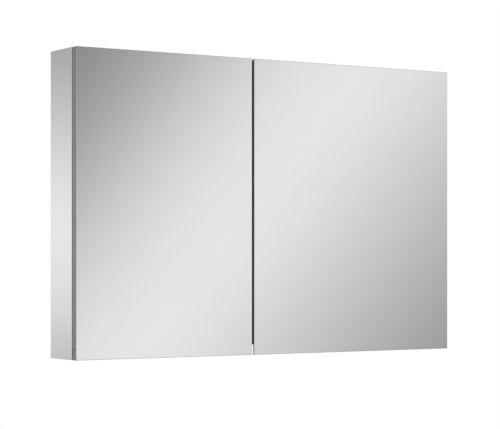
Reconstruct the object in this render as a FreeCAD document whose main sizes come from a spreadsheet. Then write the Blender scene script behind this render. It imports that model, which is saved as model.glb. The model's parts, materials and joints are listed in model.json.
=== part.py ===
import FreeCAD, Part
import os
import re
import Sketcher

# Wall cabinet with two mirror doors of unequal width, mirror sides and glass shelves.
# The doors swing on concealed pins. Their mirrors hang below the door frames and the bottom panel,
# so that a finger behind the lower edge of a mirror pulls the door open.
# Millimetres. Z is up, X is to the right seen from the front, and the front faces -Y.
# The wall is the plane Y = 0, and the origin is the middle of the four wall screws.

DIMENSIONS = {
    # Carcass
    "cabinet_width": 900,           # across the side mirrors
    "cabinet_height": 600,
    "carcass_depth": 92,            # wall to the front edges of the boards
    "meeting_line": 400,            # left side to the middle of the gap between the doors
    "board_thickness": 16,
    "side_mirror_thickness": 3,
    "finger_recess": 20,            # height of the hollow under the bottom panel, behind the mirrors
    "back_panel_thickness": 4,
    "back_panel_setback": 10,       # wall to back panel, filled by the hanging rails
    "groove_depth": 6,
    "groove_clearance": 0.3,
    "rail_height": 70,
    "mirror_arris": 0.6,            # bevel round the visible face of a mirror
    "wall_hole_diameter": 6.5,
    "wall_hole_inset": 131,         # inner face of a side to the wall holes
    # Shelves
    "shelf_thickness": 5,
    "shelf_depth": 64,
    "shelf_side_gap": 1.5,
    "shelf_back_gap": 1,
    "shelf_arris": 0.5,
    "shelf_pin_diameter": 5,
    "shelf_pin_in_board": 7,
    "shelf_pin_reach": 8,
    "pin_collar_diameter": 8,
    "pin_collar_thickness": 1,
    "pin_hole_clearance": 0.05,
    "pin_hole_spare": 0.5,
    "pin_hole_pitch": 32,
    "pin_hole_count": 12,
    "first_pin_hole": 90,           # above the bottom panel
    "pin_row_inset": 12,            # shelf edge to the nearer row of pins
    "lower_shelf_hole": 2,          # holes above the first one
    "upper_shelf_hole": 8,
    # Fasteners
    "assembly_screw_diameter": 4,
    "assembly_screw_head": 8,
    "assembly_screw_length": 40,
    "assembly_screw_inset": 20,     # front edge, or back panel, to the screw
    "small_screw_diameter": 3,
    "small_screw_head": 5.6,
    "plate_screw_length": 13,
    "back_screw_length": 12,
    "back_screw_inset": 50,         # inner face of a side to the outer screws of the back panel
    "catch_screw_length": 10,
    "corner_screw_length": 8,
    "corner_screw_inset": 35,       # corner of the door to the screw
    "strike_screw_diameter": 2.5,
    "strike_screw_head": 4.6,
    "strike_screw_length": 5,
    "screw_point": 2.5,
    "screw_clearance": 0.05,
    "screw_end_gap": 0.5,
    "drive_width": 0.8,             # cross recess in a screw head
    "drive_depth": 0.9,
    "dowel_diameter": 8,
    "dowel_in_panel": 10,
    "dowel_in_partition": 20,
    "dowel_inset": 18,
    "dowel_clearance": 0.05,
    # Doors
    "door_gap": 5,
    "door_stand_off": 2,            # boards to the back of the doors
    "front_mirror_thickness": 4,
    "back_mirror_thickness": 3,
    "core_thickness": 9,
    "frame_width": 20,
    "frame_wall": 1.5,
    "frame_chamfer": 1.5,
    "panel_clearance": 0.3,
    "key_leg": 45,
    "key_clearance": 0.1,
    # Hinges
    "pin_inset": 6,                 # outer edge of the door to the pin
    "pin_diameter": 5,
    "pin_engagement": 11,
    "pin_press_clearance": 0.01,
    "bush_running_clearance": 0.05,
    "bush_wall": 0.95,
    "bush_length": 12,
    "bush_flange_thickness": 0.8,
    "bush_flange_width": 1,
    "bush_press_clearance": 0.02,
    "hinge_plate_thickness": 1.5,
    "hinge_running_gap": 0.2,
    "plate_nose_gap": 0.5,          # rounded end of a plate to the mirror in front of it
    "plate_base_width": 40,
    "plate_base_depth": 50,
    "plate_side_gap": 0.5,
    "plate_screw_inset": 10,
    # Catches and bumpers
    "catch_level": 110,             # top of the cabinet to the middle of a catch
    "catch_width": 12,
    "catch_length": 20,
    "catch_height": 24,
    "catch_ear_length": 9,
    "catch_ear_thickness": 3,
    "catch_gap": 0.3,
    "magnet_width": 8,
    "magnet_height": 16,
    "magnet_depth": 6,
    "strike_width": 12,
    "strike_height": 30,
    "strike_thickness": 1.2,
    "strike_screw_inset": 5,
    "bumper_diameter": 5,
    "bumper_gap": 0.3,
    "bumper_level": 70,             # outer face of the top or bottom panel to a bumper
}

# Planes and sizes that several pieces share, worked out from the dimensions
left_x = "(-cabinet_width / 2)"
board_x = "(side_mirror_thickness - cabinet_width / 2)"
inner_x = "(side_mirror_thickness + board_thickness - cabinet_width / 2)"
right_inner_x = "(cabinet_width / 2 - side_mirror_thickness - board_thickness)"
meeting_x = "(meeting_line - cabinet_width / 2)"
partition_left_x = f"({meeting_x} - board_thickness / 2)"
partition_right_x = f"({meeting_x} + board_thickness / 2)"

top_z = "(cabinet_height / 2)"
bottom_z = "(-cabinet_height / 2)"
ceiling_z = "(cabinet_height / 2 - board_thickness)"
base_z = "(finger_recess - cabinet_height / 2)"
floor_z = "(finger_recess + board_thickness - cabinet_height / 2)"
wall_hole_z = "(cabinet_height / 2 - finger_recess - board_thickness - rail_height / 2)"

front_y = "(-carcass_depth)"
rail_front_y = "(-back_panel_setback)"
back_y = "(-back_panel_setback - back_panel_thickness)"
shelf_back_y = f"({back_y} - shelf_back_gap)"
shelf_front_y = f"({shelf_back_y} - shelf_depth)"
pin_rows_y = (f"({shelf_front_y} + pin_row_inset)", f"({shelf_back_y} - pin_row_inset)")

frame_depth = "(core_thickness + back_mirror_thickness)"
door_back_y = "(-carcass_depth - door_stand_off)"
mirror_back_y = f"({door_back_y} - {frame_depth})"
door_reveal = "(hinge_plate_thickness + hinge_running_gap + bush_flange_thickness)"
door_height = f"(cabinet_height - finger_recess - 2 * {door_reveal})"
door_top_z = f"({top_z} - {door_reveal})"
door_bottom_z = f"({base_z} + {door_reveal})"
door_middle_z = "(finger_recess / 2)"
left_door_width = "(meeting_line - door_gap / 2)"
right_door_width = "(cabinet_width - meeting_line - door_gap / 2)"

pin_x = "(pin_inset - cabinet_width / 2)"
pin_y = f"({door_back_y} - {frame_depth} / 2)"
bush_radius = "(pin_diameter / 2 + bush_running_clearance + bush_wall)"

plate_x = (f"({inner_x} + plate_side_gap)", f"({inner_x} + plate_side_gap + plate_base_width)")
plate_nose_radius = f"({frame_depth} / 2 - plate_nose_gap)"
plate_y = (f"({pin_y} - {plate_nose_radius})", f"({front_y} + plate_base_depth)")
plate_z = (f"({top_z} - hinge_plate_thickness)", top_z)
plate_seat_x = (inner_x, f"({inner_x} + 2 * plate_side_gap + plate_base_width)")
plate_seat_y = (front_y, f"({front_y} + plate_base_depth + plate_side_gap)")

catch_z = "(cabinet_height / 2 - catch_level)"
bumper_z = "(cabinet_height / 2 - bumper_level)"
strike_face_y = f"({door_back_y} + strike_thickness)"
catch_front_y = f"({strike_face_y} + catch_gap)"

Vector = FreeCAD.Vector
Rotation = FreeCAD.Rotation

# Turns that point a piece drawn along -Z in each direction
DRIVEN = {
    "-z": Rotation(),
    "+z": Rotation(Vector(1, 0, 0), 180),
    "+x": Rotation(Vector(0, 1, 0), -90),
    "-x": Rotation(Vector(0, 1, 0), 90),
    "-y": Rotation(Vector(1, 0, 0), -90),
    "+y": Rotation(Vector(1, 0, 0), 90),
}

doc = FreeCAD.newDocument("mirror_cabinet")
sheet = doc.addObject("Spreadsheet::Sheet", "Dims")
for row, (alias, size) in enumerate(DIMENSIONS.items(), start=1):
    sheet.set(f"A{row}", alias.replace("_", " "))
    sheet.set(f"B{row}", str(size))
    sheet.setAlias(f"B{row}", alias)
doc.recompute()


def bind(obj, prop, text):
    """tie a property to an expression in the sheet's words"""
    def cell(match):
        word = match.group(0)
        return f"Dims.{word}" if word in DIMENSIONS else word
    obj.setExpression(prop, re.sub(r"[a-z_]+", cell, text))


def place(obj, at, turn=Rotation()):
    """turn an object and tie its base point to three expressions"""
    obj.Placement = FreeCAD.Placement(Vector(), turn)
    for axis, text in zip("xyz", at):
        bind(obj, f"Placement.Base.{axis}", text)


# Primitives and booleans

def box(name, x, y, z):
    """a block between two planes on each axis"""
    obj = doc.addObject("Part::Box", name)
    for prop, (low, high) in zip(("Length", "Width", "Height"), (x, y, z)):
        bind(obj, prop, f"{high} - {low}")
    place(obj, (x[0], y[0], z[0]))
    return obj


def rod(name, radius, length, at, direction="-z"):
    """a cylinder that starts at a point and runs in a direction"""
    obj = doc.addObject("Part::Cylinder", name)
    bind(obj, "Radius", radius)
    bind(obj, "Height", length)
    place(obj, at, DRIVEN[direction].multiply(Rotation(Vector(1, 0, 0), 180)))
    return obj


def fuse(name, pieces):
    obj = doc.addObject("Part::MultiFuse", name)
    obj.Shapes = pieces
    obj.Refine = True
    return obj


def group(name, pieces):
    obj = doc.addObject("Part::Compound", name)
    obj.Links = pieces
    return obj


def cut(name, base, tools):
    obj = doc.addObject("Part::Cut", name)
    obj.Base = base
    obj.Tool = tools[0] if len(tools) == 1 else group(f"{name}_cutters", tools)
    return obj


def mirrored(name, source, normal, plane=None):
    """the mirror image in a plane through the origin, or at a given place along the normal"""
    obj = doc.addObject("Part::Mirroring", name)
    obj.Source = source
    obj.Normal = normal
    if plane:
        bind(obj, "Base.x" if normal == ACROSS else "Base.z", plane)
    return obj


ACROSS = Vector(1, 0, 0)
UPRIGHT = Vector(0, 0, 1)


def repeated(name, master, places):
    """copies of one piece, each at (x, y, z, direction)"""
    links = []
    for number, (x, y, z, direction) in enumerate(places, start=1):
        link = doc.addObject("App::Link", f"{name}_{number}")
        link.LinkedObject = master
        place(link, (x, y, z), DRIVEN[direction])
        links.append(link)
    return group(name, links)


# Sketches and bodies

def sketch_on(body, name, role, offset=None):
    """a sketch on one of the body's own origin planes, or a stated way in front of it"""
    sketch = body.newObject("Sketcher::SketchObject", name)
    plane = next(f for f in body.Origin.OriginFeatures if f.Role == role)
    sketch.AttachmentSupport = [(plane, "")]
    sketch.MapMode = "FlatFace"
    if offset:
        bind(sketch, "AttachmentOffset.Base.z", offset)
    return sketch


def measure(sketch, kind, refs, text):
    """a dimension tied to an expression"""
    number = sketch.addConstraint(Sketcher.Constraint(kind, *refs, 1.0))
    bind(sketch, f"Constraints[{number}]", text)


def outline(sketch, points):
    """straight lines through the points, closed"""
    count = len(points)
    for start, end in zip(points, points[1:] + points[:1]):
        sketch.addGeometry(Part.LineSegment(Vector(*start), Vector(*end)), False)
    for line in range(count):
        sketch.addConstraint(Sketcher.Constraint("Coincident", line, 2, (line + 1) % count, 1))


def rectangle(sketch, size, low=None):
    """a rectangle with its low corner at the sketch's origin or at a stated point"""
    outline(sketch, [(1, 1), (2, 1), (2, 2), (1, 2)])
    for line, kind in enumerate(("Horizontal", "Vertical", "Horizontal", "Vertical")):
        sketch.addConstraint(Sketcher.Constraint(kind, line))
    measure(sketch, "DistanceX", (0, 1, 0, 2), size[0])
    measure(sketch, "DistanceY", (1, 1, 1, 2), size[1])
    if low:
        measure(sketch, "DistanceX", (-1, 1, 0, 1), low[0])
        measure(sketch, "DistanceY", (-1, 1, 0, 1), low[1])
    else:
        sketch.addConstraint(Sketcher.Constraint("Coincident", 0, 1, -1, 1))


def padded(name, role, size, depth, at, turn=Rotation()):
    """a body with one rectangular pad that starts at the body's own origin"""
    body = doc.addObject("PartDesign::Body", name)
    place(body, at, turn)
    sketch = sketch_on(body, f"{name}_outline", role)
    rectangle(sketch, size)
    pad = body.newObject("PartDesign::Pad", f"{name}_pad")
    pad.Profile = sketch
    bind(pad, "Length", depth)
    doc.recompute()
    return body


def pocket(body, name, sketch, depth, along_normal=False):
    """cut a sketch into the body, against its plane's normal unless told otherwise"""
    before = body.Shape.Volume
    obj = body.newObject("PartDesign::Pocket", name)
    obj.Profile = sketch
    obj.Reversed = along_normal
    bind(obj, "Length", depth)
    doc.recompute()
    if body.Shape.Volume >= before:
        raise ValueError(f"{name} cuts nothing")
    return obj


def bevel(body, name, size, on_edge):
    """chamfer the edges whose ends all satisfy a test on the body's own coordinates"""
    base = body.Tip
    edges = []
    for number, edge in enumerate(base.Shape.Edges, start=1):
        if all(on_edge(vertex.Point) for vertex in edge.Vertexes):
            edges.append(f"Edge{number}")
    obj = body.newObject("PartDesign::Chamfer", name)
    obj.Base = (base, edges)
    bind(obj, "Size", size)
    doc.recompute()


def is_zero(number):
    return abs(number) < 1e-6


def pin_hole_rows(body, name, heights_from, offset=None, along_normal=False):
    """two rows of shelf pin holes in a board that lies in the YZ plane, front edge at its origin"""
    sketch = sketch_on(body, f"{name}_first", "YZ_Plane", offset)
    for number, row_y in enumerate(pin_rows_y):
        sketch.addGeometry(Part.Circle(Vector(1 + number, 1, 0), Vector(0, 0, 1), 0.4), False)
        measure(sketch, "Radius", (number,), "shelf_pin_diameter / 2 + pin_hole_clearance")
        measure(sketch, "DistanceX", (-1, 1, number, 3), f"carcass_depth + {row_y}")
        measure(sketch, "DistanceY", (-1, 1, number, 3), f"{heights_from} + first_pin_hole")
    first = pocket(body, f"{name}_bore", sketch, "shelf_pin_in_board + pin_hole_spare", along_normal)
    pattern = body.newObject("PartDesign::LinearPattern", f"{name}_row")
    pattern.Originals = [first]
    pattern.Direction = (sketch, ["V_Axis"])
    bind(pattern, "Length", "(pin_hole_count - 1) * pin_hole_pitch")
    bind(pattern, "Occurrences", "pin_hole_count")
    body.Tip = pattern
    doc.recompute()


# Screws: countersunk, drawn along -Z with the flat of the head at the origin

def screw(name, diameter, head, length):
    """a screw with a cross recess, and the clear bore that it goes in"""
    head_height = f"({head} - {diameter}) / 2"
    shank = f"{diameter} / 2"

    cone = doc.addObject("Part::Cone", f"{name}_head")
    bind(cone, "Radius1", shank)
    bind(cone, "Radius2", f"{head} / 2")
    bind(cone, "Height", head_height)
    place(cone, ("0", "0", f"-{head_height}"))
    stem = rod(f"{name}_stem", shank, f"{length} - screw_point - {head_height}",
               ("0", "0", f"-{head_height}"))
    tip = doc.addObject("Part::Cone", f"{name}_tip")
    bind(tip, "Radius1", "drive_width / 4")
    bind(tip, "Radius2", shank)
    bind(tip, "Height", "screw_point")
    place(tip, ("0", "0", f"-{length}"))
    half_slot = ("-drive_width / 2", "drive_width / 2")
    half_cross = (f"-{head} / 4", f"{head} / 4")
    slot_z = ("-drive_depth", "drive_depth")
    cross = fuse(f"{name}_cross", [
        box(f"{name}_slot_across", half_cross, half_slot, slot_z),
        box(f"{name}_slot_along", half_slot, half_cross, slot_z),
    ])
    made = cut(name, fuse(f"{name}_blank", [cone, stem, tip]), [cross])

    sink = doc.addObject("Part::Cone", f"{name}_sink")
    bind(sink, "Radius1", f"{shank} + screw_clearance")
    bind(sink, "Radius2", f"{head} / 2 + screw_clearance")
    bind(sink, "Height", head_height)
    place(sink, ("0", "0", f"-{head_height}"))
    hole = rod(f"{name}_hole", f"{shank} + screw_clearance", f"{length} + screw_end_gap", ("0", "0", "0"))
    mouth = rod(f"{name}_mouth", f"{head} / 2 + screw_clearance", "screw_end_gap", ("0", "0", "0"), "+z")
    bore = fuse(f"{name}_bore", [sink, hole, mouth])
    return made, bore


assembly_screw = screw("assembly_screw", "assembly_screw_diameter", "assembly_screw_head",
                       "assembly_screw_length")
strike_screw = screw("strike_screw", "strike_screw_diameter", "strike_screw_head", "strike_screw_length")
plate_screw, back_screw, catch_screw, corner_screw = (
    screw(name, "small_screw_diameter", "small_screw_head", f"{name}_length")
    for name in ("plate_screw", "back_screw", "catch_screw", "corner_screw"))

nodes = {}


def node(name, obj):
    """name a finished piece"""
    obj.Label = name
    nodes[name] = obj
    return obj


def screw_group(name, kind, places):
    """the screws of one group as a piece, and their bores as a cutter"""
    made, bore = kind
    node(name, repeated(name, made, places))
    return repeated(f"{name}_bores", bore, places)


# Where the fasteners of the carcass go

plate_screw_x = f"({plate_x[0]} + plate_base_width / 2)"
plate_screws_y = (f"({front_y} + plate_screw_inset)", f"({plate_y[1]} - plate_screw_inset)")
plate_screws_x = (plate_screw_x, f"-{plate_screw_x}")
plate_places = []
for z, direction in ((top_z, "-z"), (base_z, "+z")):
    plate_places += [(x, y, z, direction) for x in plate_screws_x for y in plate_screws_y]

panel_joints_z = (f"({top_z} - board_thickness / 2)", f"({base_z} + board_thickness / 2)")
panel_joints_y = (f"({front_y} + assembly_screw_inset)", f"({back_y} - assembly_screw_inset)")
rail_joints_z = (f"({ceiling_z} - rail_height / 2)", f"({floor_z} + rail_height / 2)")
assembly_places = []
for x, direction in ((board_x, "+x"), (f"-{board_x}", "-x")):
    assembly_places += [(x, y, z, direction) for z in panel_joints_z for y in panel_joints_y]
    assembly_places += [(x, f"{rail_front_y} / 2", z, direction) for z in rail_joints_z]

back_screws_x = (f"({inner_x} + back_screw_inset)", "0", f"({right_inner_x} - back_screw_inset)")
back_screw_places = [(x, back_y, z, "+y") for x in back_screws_x for z in rail_joints_z]

catch_screws_y = f"({catch_front_y} + catch_length / 2)"
catch_ears_z = [f"({catch_z} {sign} (catch_height + catch_ear_length) / 2)" for sign in "+-"]
left_ear_x = f"({partition_left_x} - catch_ear_thickness)"
right_ear_x = f"({partition_right_x} + catch_ear_thickness)"
catch_screw_places = [(left_ear_x, catch_screws_y, z, "+x") for z in catch_ears_z]
catch_screw_places += [(right_ear_x, catch_screws_y, z, "-x") for z in catch_ears_z]

plate_bores = screw_group("hinge_plate_screws", plate_screw, plate_places)
assembly_bores = screw_group("assembly_screws", assembly_screw, assembly_places)
back_screw_bores = screw_group("back_panel_screws", back_screw, back_screw_places)
catch_screw_bores = screw_group("catch_screws", catch_screw, catch_screw_places)

# Dowels between the partition and the panels above and below it

dowels = []
dowel_bores = []
for level, (low, high) in {
    "upper": (f"({ceiling_z} - dowel_in_partition)", f"({ceiling_z} + dowel_in_panel)"),
    "lower": (f"({floor_z} - dowel_in_panel)", f"({floor_z} + dowel_in_partition)"),
}.items():
    for row, y in {"front": f"({front_y} + dowel_inset)", "back": f"({back_y} - dowel_inset)"}.items():
        name = f"{level}_{row}_dowel"
        dowels.append(rod(name, "dowel_diameter / 2", f"{high} - {low}", (meeting_x, y, high)))
        dowel_bores.append(rod(f"{name}_bore", "dowel_diameter / 2 + dowel_clearance",
                               f"{high} - {low} + 2 * screw_end_gap",
                               (meeting_x, y, f"{high} + screw_end_gap")))
node("partition_dowels", group("partition_dowels", dowels))

# Side panels and their mirrors

side_board = padded("left_side_board", "YZ_Plane", ("carcass_depth", "cabinet_height"), "board_thickness",
                    (board_x, front_y, bottom_z))
groove_sketch = sketch_on(side_board, "left_side_groove_outline", "YZ_Plane", "board_thickness")
rectangle(groove_sketch,
          ("back_panel_thickness", f"{ceiling_z} - {floor_z} + 2 * groove_depth"),
          (f"carcass_depth + {back_y}", f"{floor_z} - {bottom_z} - groove_depth"))
pocket(side_board, "left_side_groove", groove_sketch, "groove_depth")
pin_hole_rows(side_board, "left_side_holes", f"{floor_z} - {bottom_z}", "board_thickness")
left_side_panel = node("left_side_panel", cut("left_side_panel", side_board, [assembly_bores]))
node("right_side_panel", mirrored("right_side_panel", left_side_panel, ACROSS))

side_mirror = padded("left_side_mirror", "YZ_Plane", ("carcass_depth", "cabinet_height"),
                     "side_mirror_thickness", (left_x, front_y, bottom_z))
bevel(side_mirror, "left_side_mirror_arris", "mirror_arris", lambda point: is_zero(point.x))
node("left_side_mirror", side_mirror)
node("right_side_mirror", mirrored("right_side_mirror", side_mirror, ACROSS))

# Top and bottom panel

between_sides = (inner_x, right_inner_x)
full_depth = (front_y, "0")
groove_y = (back_y, rail_front_y)

left_seat = box("left_plate_seat", plate_seat_x, plate_seat_y, plate_z)
upper_seats = group("upper_plate_seats", [left_seat, mirrored("right_plate_seat", left_seat, ACROSS)])
lower_seats = mirrored("lower_plate_seats", upper_seats, UPRIGHT, door_middle_z)
top_board = box("top_board", between_sides, full_depth, (ceiling_z, top_z))
node("top_panel", cut("top_panel", top_board, [
    box("top_groove", between_sides, groove_y, (ceiling_z, f"({ceiling_z} + groove_depth)")),
    upper_seats,
    repeated("top_plate_screw_holes", plate_screw[1], plate_places),
    repeated("top_assembly_holes", assembly_screw[1], assembly_places),
    *dowel_bores[:2],
]))
bottom_board = box("bottom_board", between_sides, full_depth, (base_z, floor_z))
node("bottom_panel", cut("bottom_panel", bottom_board, [
    box("bottom_groove", between_sides, groove_y, (f"({floor_z} - groove_depth)", floor_z)),
    lower_seats,
    repeated("bottom_plate_screw_holes", plate_screw[1], plate_places),
    repeated("bottom_assembly_holes", assembly_screw[1], assembly_places),
    *dowel_bores[2:],
]))

# Partition behind the gap between the doors

partition_board = padded("partition_board", "YZ_Plane",
                         (f"carcass_depth + {back_y}", f"{ceiling_z} - {floor_z}"), "board_thickness",
                         (partition_left_x, front_y, floor_z))
pin_hole_rows(partition_board, "partition_left_holes", "0", along_normal=True)
pin_hole_rows(partition_board, "partition_right_holes", "0", "board_thickness")
node("centre_partition", cut("centre_partition", partition_board, [catch_screw_bores, *dowel_bores]))

# Back panel and the rails that take the wall screws

wall_holes = []
wall_holes_x = {"left": f"({inner_x} + wall_hole_inset)", "right": f"({right_inner_x} - wall_hole_inset)"}
for side_name, x in wall_holes_x.items():
    for level, z in {"upper": wall_hole_z, "lower": f"-{wall_hole_z}"}.items():
        wall_holes.append(rod(f"{level}_{side_name}_wall_hole", "wall_hole_diameter / 2",
                              f"-{back_y}", (x, "0", z), "-y"))
wall_bores = group("wall_holes", wall_holes)

groove_reach = "(groove_depth - groove_clearance)"
back_board = box("back_board", (f"({inner_x} - {groove_reach})", f"({right_inner_x} + {groove_reach})"),
                 groove_y, (f"({floor_z} - {groove_reach})", f"({ceiling_z} + {groove_reach})"))
node("back_panel", cut("back_panel", back_board, [wall_bores, back_screw_bores]))

for level, rail_z in {
    "upper": (f"({ceiling_z} - rail_height)", ceiling_z),
    "lower": (floor_z, f"({floor_z} + rail_height)"),
}.items():
    name = f"{level}_hanging_rail"
    rail = box(f"{name}_blank", between_sides, (rail_front_y, "0"), rail_z)
    rail_screw_holes = repeated(f"{name}_screw_holes", back_screw[1], back_screw_places)
    rail_end_holes = repeated(f"{name}_end_holes", assembly_screw[1], assembly_places)
    node(name, cut(name, rail, [wall_bores, rail_screw_holes, rail_end_holes]))

# Hinge plates and pins

plate_blank = fuse("hinge_plate_blank", [
    box("hinge_plate_base", plate_x, plate_y, plate_z),
    box("hinge_plate_bar", (pin_x, plate_x[1]), (plate_y[0], f"({pin_y} + {plate_nose_radius})"), plate_z),
    rod("hinge_plate_nose", plate_nose_radius, "hinge_plate_thickness", (pin_x, pin_y, top_z)),
])
pin_bore = rod("hinge_plate_pin_hole", "pin_diameter / 2 + pin_press_clearance", "hinge_plate_thickness",
               (pin_x, pin_y, top_z))
left_upper_plate = cut("left_upper_hinge_plate", plate_blank, [pin_bore, plate_bores])
left_upper_pin = rod("left_upper_pin", "pin_diameter / 2", f"{door_reveal} + pin_engagement",
                     (pin_x, pin_y, top_z))

node("left_upper_hinge_plate", left_upper_plate)
left_lower_plate = mirrored("left_lower_hinge_plate", left_upper_plate, UPRIGHT, door_middle_z)
node("left_lower_hinge_plate", left_lower_plate)
node("right_upper_hinge_plate", mirrored("right_upper_hinge_plate", left_upper_plate, ACROSS))
node("right_lower_hinge_plate", mirrored("right_lower_hinge_plate", left_lower_plate, ACROSS))

# A lower pin stands on a thick foot, which closes the corner between the side and the hanging mirror
left_lower_pin = fuse("left_lower_pin", [
    mirrored("left_lower_pin_shank", left_upper_pin, UPRIGHT, door_middle_z),
    rod("left_lower_pin_foot", plate_nose_radius, "finger_recess", (pin_x, pin_y, base_z)),
])
for level, left_pin in {"upper": left_upper_pin, "lower": left_lower_pin}.items():
    right_pin = mirrored(f"right_{level}_pin", left_pin, ACROSS)
    node(f"{level}_hinge_pins", group(f"{level}_hinge_pins", [left_pin, right_pin]))

# Glass shelves on collared pins

shelf_pin = fuse("shelf_pin", [
    rod("shelf_pin_stem", "shelf_pin_diameter / 2", "shelf_pin_in_board + shelf_pin_reach",
        ("0", "0", "shelf_pin_in_board")),
    rod("shelf_pin_collar", "pin_collar_diameter / 2", "pin_collar_thickness", ("0", "0", "0")),
])
bays = {"left": (inner_x, partition_left_x), "right": (partition_right_x, right_inner_x)}
pin_places = []
for bay, (bay_left, bay_right) in bays.items():
    for level in ("lower", "upper"):
        pin_z = f"({floor_z} + first_pin_hole + {level}_shelf_hole * pin_hole_pitch)"
        name = f"{bay}_{level}_shelf"
        shelf = padded(name, "XY_Plane", (f"{bay_right} - {bay_left} - 2 * shelf_side_gap", "shelf_depth"),
                       "shelf_thickness",
                       (f"{bay_left} + shelf_side_gap", shelf_front_y, f"{pin_z} + shelf_pin_diameter / 2"))
        bevel(shelf, f"{name}_arris", "shelf_arris", lambda point: is_zero(point.y))
        node(name, shelf)
        pin_places += [(bay_left, y, pin_z, "+x") for y in pin_rows_y]
        pin_places += [(bay_right, y, pin_z, "-x") for y in pin_rows_y]
node("shelf_pins", repeated("shelf_pins", shelf_pin, pin_places))

# Magnetic catches on both faces of the partition

catch_core_z = (f"({catch_z} - catch_height / 2)", f"({catch_z} + catch_height / 2)")
catch_ear_z = (f"({catch_z} - catch_height / 2 - catch_ear_length)",
               f"({catch_z} + catch_height / 2 + catch_ear_length)")
catch_y = (catch_front_y, f"({catch_front_y} + catch_length)")
catch_x = (f"({partition_left_x} - catch_width)", partition_left_x)
magnet_middle_x = f"({partition_left_x} - catch_width / 2)"
magnet_box = ((f"({magnet_middle_x} - magnet_width / 2)", f"({magnet_middle_x} + magnet_width / 2)"),
              (catch_front_y, f"({catch_front_y} + magnet_depth)"),
              (f"({catch_z} - magnet_height / 2)", f"({catch_z} + magnet_height / 2)"))
catch_blank = fuse("left_catch_blank", [
    box("left_catch_housing", catch_x, catch_y, catch_core_z),
    box("left_catch_ears", (left_ear_x, partition_left_x), (front_y, catch_y[1]), catch_ear_z),
])
left_catch = cut("left_catch_body", catch_blank, [
    box("left_magnet_seat", *magnet_box),
    repeated("catch_ear_holes", catch_screw[1], catch_screw_places),
])
left_magnet = box("left_catch_magnet", *magnet_box)
node("left_catch_body", left_catch)
node("left_catch_magnet", left_magnet)
node("right_catch_body", mirrored("right_catch_body", left_catch, ACROSS, meeting_x))
node("right_catch_magnet", mirrored("right_catch_magnet", left_magnet, ACROSS, meeting_x))


# Doors: each is drawn hung on the left, and the right one is that door's mirror image at its own width

def frame_bar(name, length, at, degrees):
    """a hollow bar with mitred ends: its outer edge runs up from the origin, then it is turned about Y"""
    body = doc.addObject("PartDesign::Body", name)
    place(body, at, Rotation(Vector(0, 1, 0), degrees))
    face = sketch_on(body, f"{name}_face", "XZ_Plane")
    outline(face, [(0, 0), (2, 2), (2, 8), (0, 10)])
    face.addConstraint(Sketcher.Constraint("Coincident", 0, 1, -1, 1))
    face.addConstraint(Sketcher.Constraint("Vertical", 1))
    face.addConstraint(Sketcher.Constraint("Vertical", 3))
    measure(face, "DistanceX", (0, 1, 0, 2), "frame_width")
    measure(face, "DistanceY", (0, 1, 0, 2), "frame_width")
    measure(face, "DistanceY", (2, 1, 2, 2), "frame_width")
    measure(face, "DistanceY", (3, 2, 3, 1), length)
    pad = body.newObject("PartDesign::Pad", f"{name}_pad")
    pad.Profile = face
    bind(pad, "Length", frame_depth)
    doc.recompute()
    bevel(body, f"{name}_chamfer", "frame_chamfer", lambda point: is_zero(point.x) and is_zero(point.y))
    hollow = sketch_on(body, f"{name}_hollow_outline", "XZ_Plane", "frame_wall")
    rectangle(hollow, ("frame_width - 2 * frame_wall", f"{length} - 2 * frame_wall"),
              ("frame_wall", "frame_wall"))
    pocket(body, f"{name}_hollow", hollow, f"{frame_depth} - 2 * frame_wall", along_normal=True)
    return body


def corner_key(name, x, z, x_sign, z_sign):
    """an angle that fills the hollow of two bars, from the corner of the door at x, z"""
    def span(start, sign, length):
        near = f"({start} {sign} (frame_wall + key_clearance))"
        far = f"({start} {sign} (frame_wall + key_clearance + {length}))"
        return (near, far) if sign == "+" else (far, near)

    leg_width = "frame_width - 2 * frame_wall - 2 * key_clearance"
    key_y = (f"({mirror_back_y} + frame_wall + key_clearance)",
             f"({door_back_y} - frame_wall - key_clearance)")
    return fuse(name, [
        box(f"{name}_level_leg", span(x, x_sign, "key_leg"), key_y, span(z, z_sign, leg_width)),
        box(f"{name}_upright_leg", span(x, x_sign, leg_width), key_y, span(z, z_sign, "key_leg")),
    ])


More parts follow.
